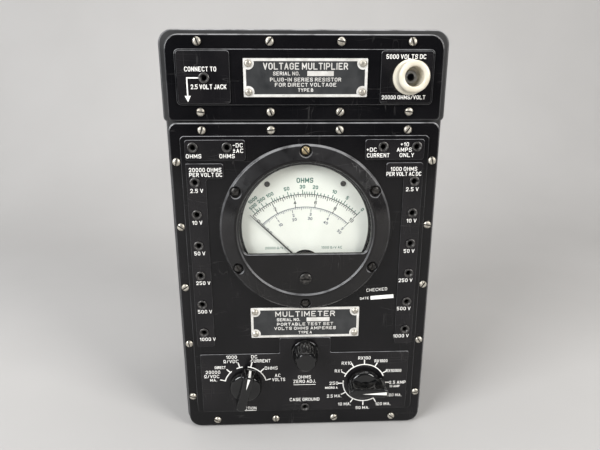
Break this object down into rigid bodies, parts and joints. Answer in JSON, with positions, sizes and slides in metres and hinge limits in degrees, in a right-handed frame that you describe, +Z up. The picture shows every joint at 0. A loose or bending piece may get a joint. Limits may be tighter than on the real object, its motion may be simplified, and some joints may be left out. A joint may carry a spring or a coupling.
{
  "type": "analog multimeter",
  "caption": "Upright bench multimeter with a round pointer meter, pin-jack columns, two rotary switches, a zero control and a high-voltage multiplier module above.",
  "frame": {"origin": "middle of the overall bounding box at the level of the base it stands on", "axes": "+Z up, -Y out of the front panel, +X to the right as seen from the front"},
  "size_m": [0.184, 0.133, 0.2858],
  "materials": {
    "case_phenolic": "satin black moulded phenolic, slightly dusty at the rim",
    "panel_phenolic": "polished black phenolic",
    "meter_phenolic": "polished black phenolic",
    "knob_phenolic": "glossy black phenolic",
    "gasket_rubber": "matt black rubber",
    "plate_aluminium": "etched plate with a bright border",
    "nickel": "nickel plate, lightly worn",
    "jack_metal": "dull plated metal",
    "black_screw": "black oxide",
    "pointer_black": "matt black paint",
    "ceramic": "glazed cream ceramic",
    "window_glass": "clear glass",
    "dial_enamel": "satin off-white enamel",
    "brass": "satin brass",
    "copper": "bare copper",
    "magnet_steel": "bare steel",
    "board_laminate": "brown paper laminate",
    "battery_card": "printed card sleeve"
  },
  "bodies": {
    "case": {"case_body": "case_phenolic", "multimeter_panel": "panel_phenolic", "multiplier_panel": "panel_phenolic", "multimeter_gasket": "gasket_rubber", "multiplier_gasket": "gasket_rubber", "multimeter_nameplate": "plate_aluminium", "multiplier_nameplate": "plate_aluminium", "panel_screw_top_left": "nickel", "panel_screw_top_right": "nickel", "panel_screw_bottom_left": "nickel", "panel_screw_bottom_right": "nickel", "jack_20k_per_volt_2v5": "jack_metal", "jack_20k_per_volt_10v": "jack_metal", "jack_20k_per_volt_50v": "jack_metal", "jack_20k_per_volt_250v": "jack_metal", "jack_20k_per_volt_500v": "jack_metal", "jack_20k_per_volt_1000v": "jack_metal", "jack_1k_per_volt_2v5": "jack_metal", "jack_1k_per_volt_10v": "jack_metal", "jack_1k_per_volt_50v": "jack_metal", "jack_1k_per_volt_250v": "jack_metal", "jack_1k_per_volt_500v": "jack_metal", "jack_1k_per_volt_1000v": "jack_metal", "jack_ohms": "jack_metal", "jack_common": "jack_metal", "jack_current": "jack_metal", "jack_10_amp": "jack_metal", "jack_case_ground": "jack_metal", "jack_multiplier": "jack_metal", "high_voltage_insulator": "ceramic", "high_voltage_jack": "jack_metal", "meter_housing": "meter_phenolic", "meter_window": "window_glass", "meter_dial": "dial_enamel", "meter_base": "meter_phenolic", "meter_magnet": "magnet_steel", "meter_pole_shoes": "magnet_steel", "meter_core": "magnet_steel", "meter_bridge": "brass", "function_switch_deck": "board_laminate", "range_switch_deck": "board_laminate", "ohms_zero_potentiometer": "magnet_steel", "circuit_board": "board_laminate", "rectifier": "copper", "current_shunt": "copper", "battery_cell": "battery_card", "battery_pack": "battery_card", "battery_tray": "magnet_steel", "multiplier_resistor": "ceramic"},
    "movement": {"moving_coil": "copper", "pointer": "pointer_black", "hairspring": "brass"},
    "zero_adjuster": {"zero_screw": "black_screw"},
    "spring_anchor": {"zero_lever": "brass"},
    "function_switch": {"function_knob": "knob_phenolic", "function_shaft": "nickel"},
    "range_switch": {"range_knob": "knob_phenolic", "range_shaft": "nickel"},
    "ohms_zero": {"ohms_zero_knob": "knob_phenolic", "ohms_zero_shaft": "nickel"}
  },
  "joints": [
    {"name": "pointer_swing", "type": "hinge", "parent": "case", "child": "movement", "pos_m": [0, -0.0485, 0.132], "axis": [0, 1, 0], "range_deg": [0, 92], "stiffness_Nm_per_rad": 0.0004},
    {"name": "zero_adjust", "type": "hinge", "parent": "case", "child": "zero_adjuster", "pos_m": [0, -0.056, 0.1246], "axis": [0, 1, 0], "range_deg": [-60, 60]},
    {"name": "spring_anchor_swing", "type": "hinge", "parent": "case", "child": "spring_anchor", "pos_m": [0, -0.0513, 0.132], "axis": [0, 1, 0], "range_deg": [-7.5, 7.5]},
    {"name": "function_select", "type": "hinge", "parent": "case", "child": "function_switch", "pos_m": [-0.0441, -0.05, 0.0379], "axis": [0, 1, 0], "range_deg": [-90, 60]},
    {"name": "range_select", "type": "hinge", "parent": "case", "child": "range_switch", "pos_m": [0.0441, -0.05, 0.0379], "axis": [0, 1, 0], "range_deg": [-150, 180]},
    {"name": "ohms_zero_turn", "type": "hinge", "parent": "case", "child": "ohms_zero", "pos_m": [0, -0.05, 0.0652], "axis": [0, 1, 0], "range_deg": [-150, 150]}
  ],
  "couplings": [
    {"joint": "spring_anchor_swing", "follows": "zero_adjust", "ratio": -0.125}
  ]
}
